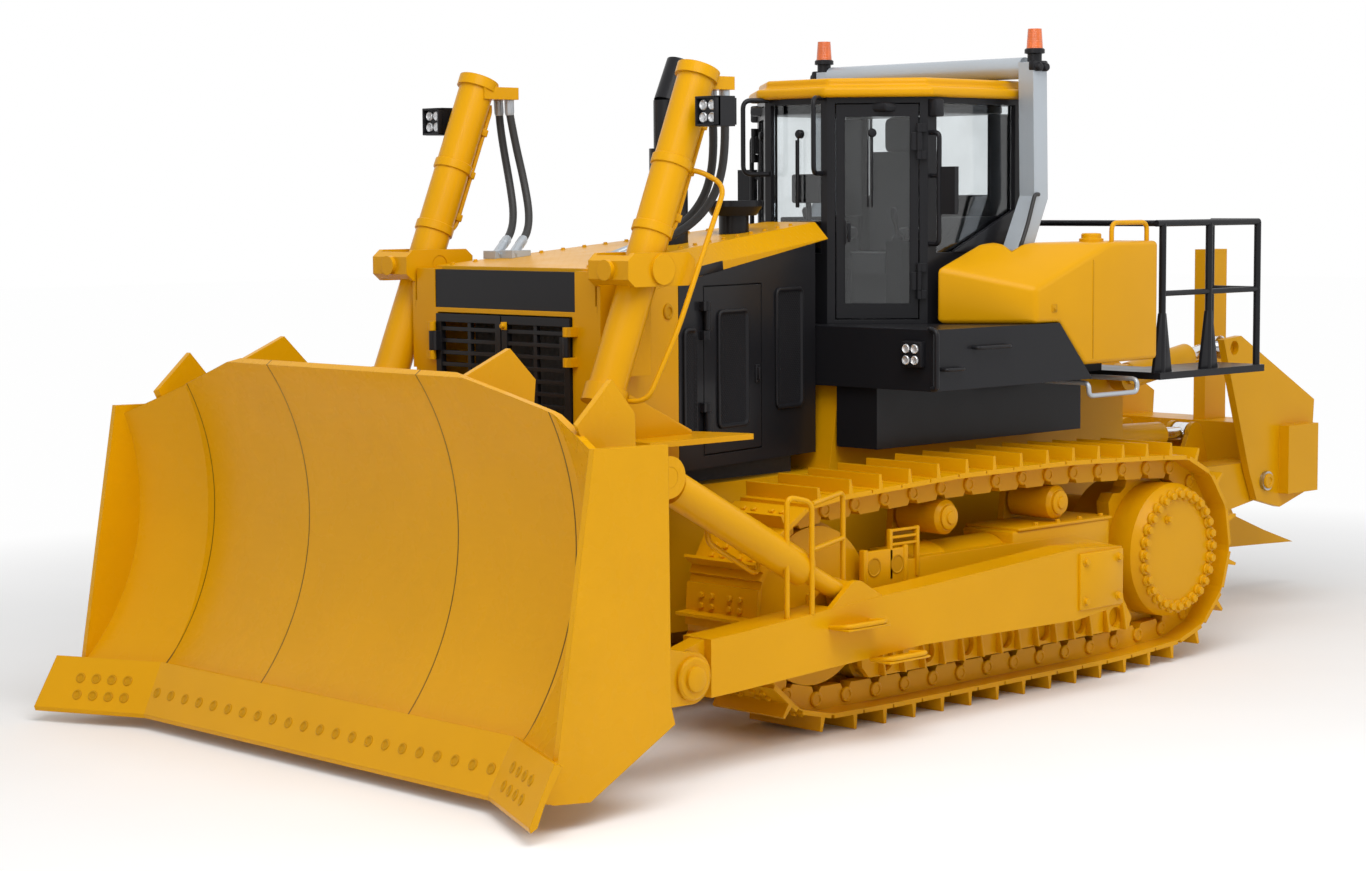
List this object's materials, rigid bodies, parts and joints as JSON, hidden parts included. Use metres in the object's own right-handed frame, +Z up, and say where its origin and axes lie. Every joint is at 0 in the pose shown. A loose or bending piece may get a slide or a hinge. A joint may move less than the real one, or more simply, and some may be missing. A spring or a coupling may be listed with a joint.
{
  "type": "crawler bulldozer",
  "caption": "Large crawler bulldozer with a semi-U blade on outside push arms, hexagonal cab under a roll-over arch, raised lift cylinders and a parallelogram ripper.",
  "frame": {"origin": "on the ground under the middle of the overall length and width", "axes": "+X forward, +Y to the left, +Z up"},
  "size_m": [10.6506, 4.83, 4.468],
  "materials": {
    "yellow_paint": "satin",
    "black_paint": "satin",
    "silver_paint": "satin",
    "chrome_rod": "polished",
    "cab_glass": "clear",
    "hose_rubber": "matte",
    "amber_lens": "gloss",
    "seat_fabric": "matte",
    "engine_iron": "cast",
    "radiator_core": "matte",
    "pin_steel": "machined"
  },
  "bodies": {
    "tractor": {"main_frame": "yellow_paint", "engine_block": "engine_iron", "radiator": "radiator_core", "radiator_guard": "yellow_paint", "nose_header": "black_paint", "hood": "yellow_paint", "side_panels": "black_paint", "platform": "black_paint", "tanks": "yellow_paint", "cab_shell": "black_paint", "cab_roof": "yellow_paint", "cab_glass": "cab_glass", "seat": "seat_fabric", "console": "black_paint", "rops": "silver_paint", "exhaust": "black_paint", "precleaner": "black_paint", "beacons": "amber_lens", "mirrors": "black_paint", "rear_rails": "black_paint", "track_frames": "yellow_paint", "track_left": "yellow_paint", "track_right": "yellow_paint", "idlers": "yellow_paint", "sprockets": "yellow_paint", "final_drives": "yellow_paint", "track_rollers": "yellow_paint", "carrier_rollers": "yellow_paint", "hose_fittings": "silver_paint", "hose_left_outer": "hose_rubber", "hose_left_inner": "hose_rubber", "hose_right_outer": "hose_rubber", "hose_right_inner": "hose_rubber"},
    "push_frame": {"push_arms": "yellow_paint"},
    "blade": {"blade": "yellow_paint", "cutting_edge": "yellow_paint"},
    "tilt_barrels": {"tilt_barrels": "yellow_paint"},
    "tilt_rods": {"tilt_rods": "chrome_rod"},
    "lift_barrels": {"lift_barrels": "yellow_paint", "lift_lamps": "black_paint"},
    "lift_rods": {"lift_rods": "chrome_rod"},
    "ripper_arm": {"ripper_arm": "yellow_paint"},
    "ripper_pin": {"ripper_pin": "pin_steel"},
    "ripper_beam": {"ripper_beam": "yellow_paint", "ripper_shank": "yellow_paint"},
    "ripper_lift_barrels": {"ripper_lift_barrels": "yellow_paint"},
    "ripper_lift_rods": {"ripper_lift_rods": "chrome_rod"},
    "ripper_tilt_barrels": {"ripper_tilt_barrels": "yellow_paint"},
    "ripper_tilt_rods": {"ripper_tilt_rods": "chrome_rod"},
    "cab_door_left": {"cab_door_left": "black_paint", "door_glass_left": "cab_glass"},
    "cab_door_right": {"cab_door_right": "black_paint", "door_glass_right": "cab_glass"},
    "engine_door_left": {"engine_door_left": "black_paint"},
    "engine_door_right": {"engine_door_right": "black_paint"},
    "grille_door_left": {"grille_door_left": "black_paint"},
    "grille_door_right": {"grille_door_right": "black_paint"}
  },
  "joints": [
    {"name": "blade_lift", "type": "hinge", "parent": "tractor", "child": "push_frame", "pos_m": [-0.18529, 0, 0.77], "axis": [0, 1, 0], "range_deg": [-17.8, 7.9]},
    {"name": "blade_pitch", "type": "hinge", "parent": "push_frame", "child": "blade", "pos_m": [3.65471, 0, 0.6], "axis": [0, 1, 0], "range_deg": [-6, 6]},
    {"name": "tilt_barrel_swing", "type": "hinge", "parent": "blade", "child": "tilt_barrels", "pos_m": [3.81471, 0, 1.76], "axis": [0, 1, 0], "range_deg": [-3.72, 3.72]},
    {"name": "tilt_rod_slide", "type": "slide", "parent": "tilt_barrels", "child": "tilt_rods", "axis": [-0.8807, 0, -0.4736], "range_m": [-0.09941, 0.09941]},
    {"name": "lift_barrel_swing", "type": "hinge", "parent": "tractor", "child": "lift_barrels", "pos_m": [3.19471, 0, 2.9], "axis": [0, 1, 0], "range_deg": [-14.93, 6.65], "deforming": ["hose_left_outer", "hose_left_inner", "hose_right_outer", "hose_right_inner"]},
    {"name": "lift_rod_slide", "type": "slide", "parent": "lift_barrels", "child": "lift_rods", "axis": [0.3797, 0, -0.9251], "range_m": [-1.23628, 0.55067]},
    {"name": "ripper_lift", "type": "hinge", "parent": "tractor", "child": "ripper_arm", "pos_m": [-2.58529, 0, 0.9], "axis": [0, -1, 0], "range_deg": [-5, 45]},
    {"name": "ripper_pin_turn", "type": "hinge", "parent": "ripper_arm", "child": "ripper_pin", "pos_m": [-3.75529, 0, 1.075], "axis": [0, -1, 0], "range_deg": [-45.1, 5.1]},
    {"name": "ripper_tilt", "type": "hinge", "parent": "ripper_pin", "child": "ripper_beam", "pos_m": [-3.75529, 0, 1.075], "axis": [0, -1, 0], "range_deg": [-12, 12]},
    {"name": "ripper_lift_barrel_swing", "type": "hinge", "parent": "tractor", "child": "ripper_lift_barrels", "pos_m": [-2.23529, 0, 1.48], "axis": [0, -1, 0], "range_deg": [-3.22, 28.47]},
    {"name": "ripper_lift_rod_slide", "type": "slide", "parent": "ripper_lift_barrels", "child": "ripper_lift_rods", "axis": [-0.9996, 0, -0.0273], "range_m": [-0.04328, 0.38275]},
    {"name": "ripper_tilt_barrel_swing", "type": "hinge", "parent": "tractor", "child": "ripper_tilt_barrels", "pos_m": [-2.14529, 0, 1.965], "axis": [0, -1, 0], "range_deg": [-5.1, 45.1]},
    {"name": "ripper_tilt_rod_slide", "type": "slide", "parent": "ripper_tilt_barrels", "child": "ripper_tilt_rods", "axis": [-0.989, 0, 0.1479], "range_m": [-0.23305, 0.23305]},
    {"name": "cab_door_left_swing", "type": "hinge", "parent": "tractor", "child": "cab_door_left", "pos_m": [0.36874, 0.77428, 3.2], "axis": [0, 0, 1], "range_deg": [0, 80]},
    {"name": "engine_door_left_swing", "type": "hinge", "parent": "tractor", "child": "engine_door_left", "pos_m": [2.28329, 0.66828, 2.23], "axis": [0, 0, -1], "range_deg": [0, 90]},
    {"name": "grille_door_left_swing", "type": "hinge", "parent": "tractor", "child": "grille_door_left", "pos_m": [3.44771, 0.637, 2.08], "axis": [0, 0, 1], "range_deg": [0, 90]},
    {"name": "cab_door_right_swing", "type": "hinge", "parent": "tractor", "child": "cab_door_right", "pos_m": [0.36874, -0.77428, 3.2], "axis": [0, 0, -1], "range_deg": [0, 80]},
    {"name": "engine_door_right_swing", "type": "hinge", "parent": "tractor", "child": "engine_door_right", "pos_m": [2.28329, -0.66828, 2.23], "axis": [0, 0, 1], "range_deg": [0, 90]},
    {"name": "grille_door_right_swing", "type": "hinge", "parent": "tractor", "child": "grille_door_right", "pos_m": [3.44771, -0.637, 2.08], "axis": [0, 0, -1], "range_deg": [0, 90]}
  ],
  "couplings": [
    {"joint": "tilt_barrel_swing", "follows": "blade_pitch", "ratio": -0.61792},
    {"joint": "tilt_rod_slide", "follows": "blade_pitch", "m_per_rad": 0.94555},
    {"joint": "lift_barrel_swing", "follows": "blade_lift", "ratio": 0.8366},
    {"joint": "lift_rod_slide", "follows": "blade_lift", "m_per_rad": 3.968},
    {"joint": "ripper_pin_turn", "follows": "ripper_lift", "ratio": -1},
    {"joint": "ripper_lift_barrel_swing", "follows": "ripper_lift", "ratio": 0.63124},
    {"joint": "ripper_lift_rod_slide", "follows": "ripper_lift", "m_per_rad": 0.48625},
    {"joint": "ripper_tilt_barrel_swing", "follows": "ripper_lift", "ratio": 1},
    {"joint": "ripper_tilt_rod_slide", "follows": "ripper_tilt", "m_per_rad": 1.1083}
  ]
}
